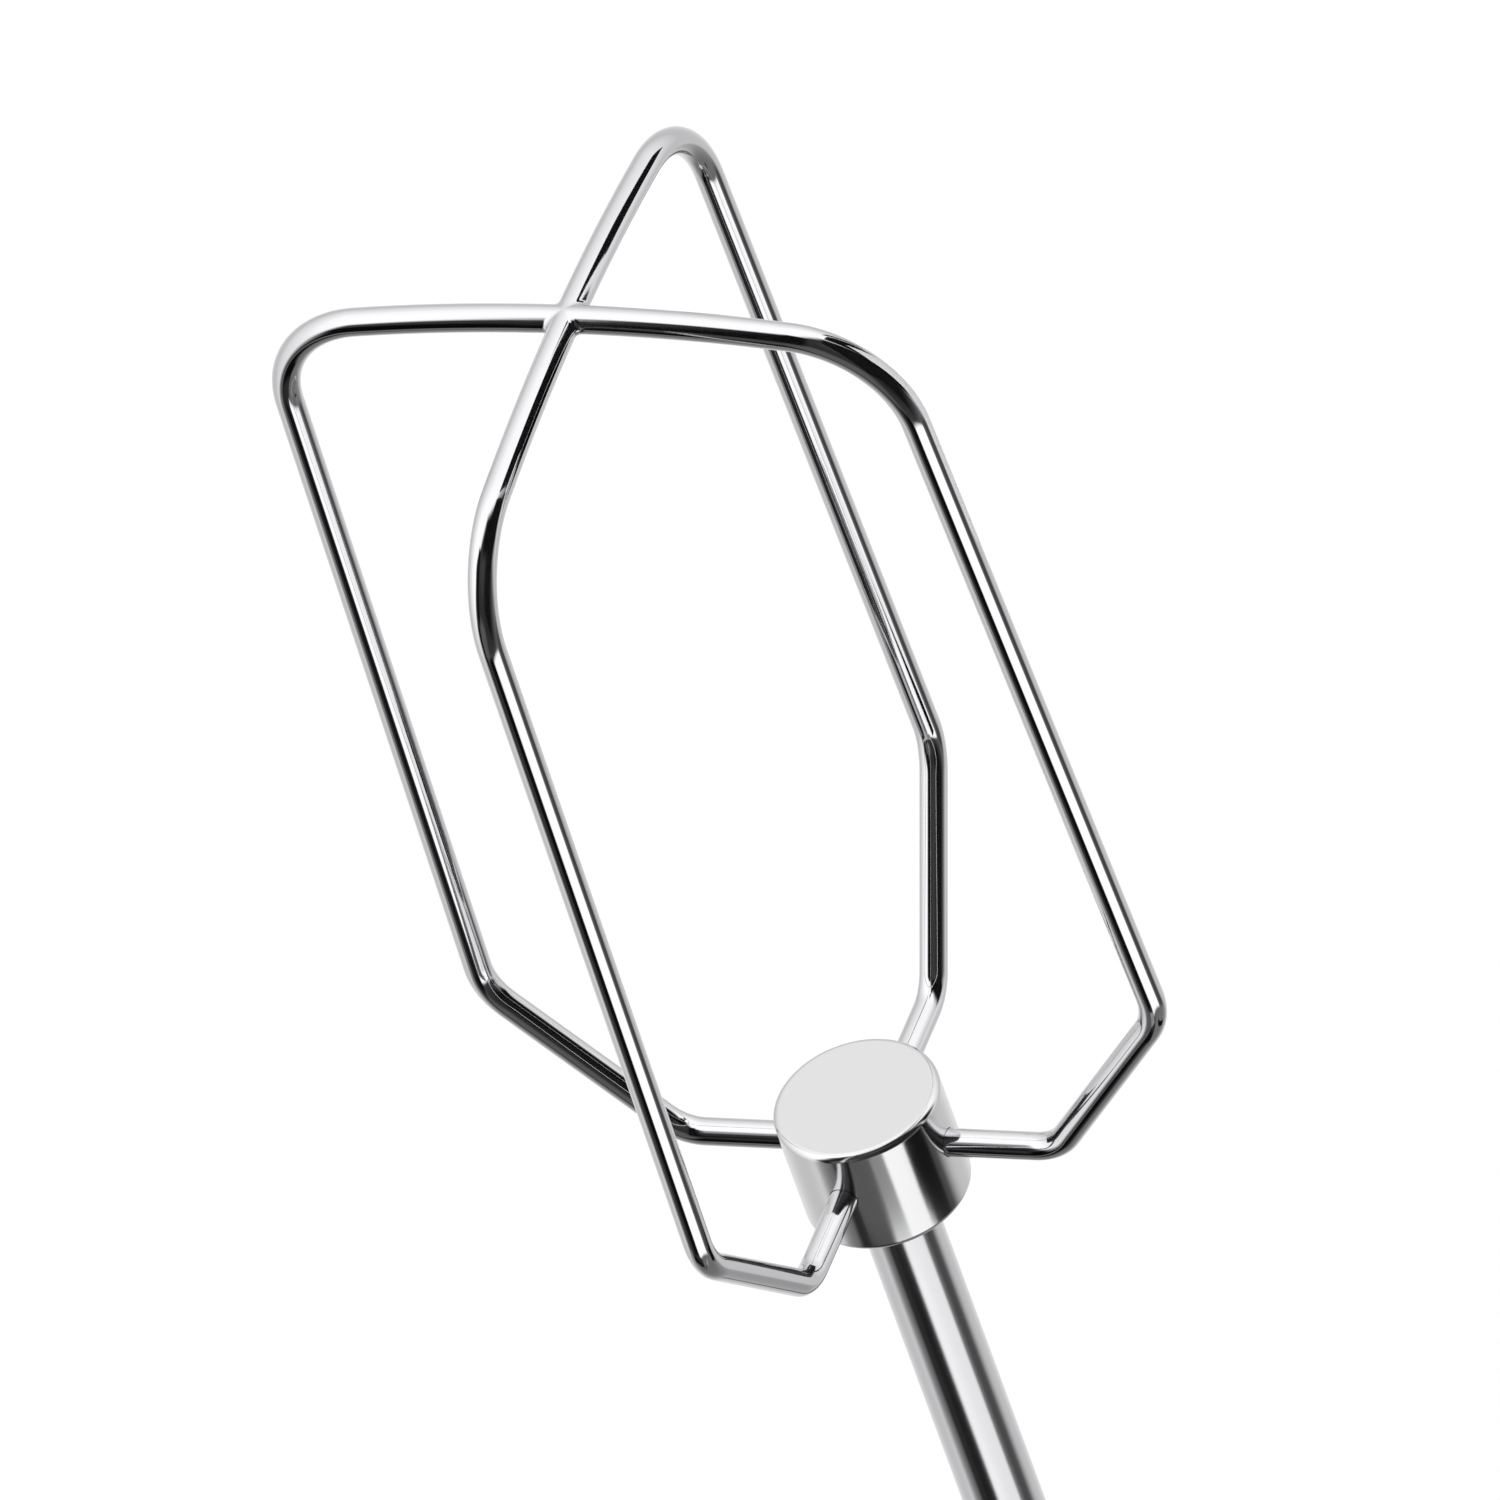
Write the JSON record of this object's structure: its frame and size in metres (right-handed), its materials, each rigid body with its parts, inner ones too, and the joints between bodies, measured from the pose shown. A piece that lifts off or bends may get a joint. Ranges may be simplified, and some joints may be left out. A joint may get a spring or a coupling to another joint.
{
  "type": "hand mixer beater",
  "caption": "Wire beater of a hand mixer: crossed bent wire loops form a cage on a turned hub, and a long steel shaft with drive wings and a latch groove plugs into the mixer.",
  "frame": {"origin": "on the shaft's axis, in the mouth plane of the mixer's socket, just below the drive wings; the shaft's end below this plane goes into the socket", "axes": "+Z along the shaft, from the drive end to the tip of the cage; loop A and the drive wings lie in the XZ plane, loop B in the YZ plane"},
  "size_m": [0.0528, 0.0528, 0.1803],
  "materials": {
    "shaft_steel": "ground and polished",
    "hub_steel": "turned and polished",
    "wire_steel": "bright drawn and polished",
    "weld_steel": "polished weld"
  },
  "bodies": {
    "root": {"shaft": "shaft_steel", "hub": "hub_steel", "loop_wire_a": "wire_steel", "loop_wire_b": "wire_steel", "tip_weld": "weld_steel"}
  },
  "joints": []
}
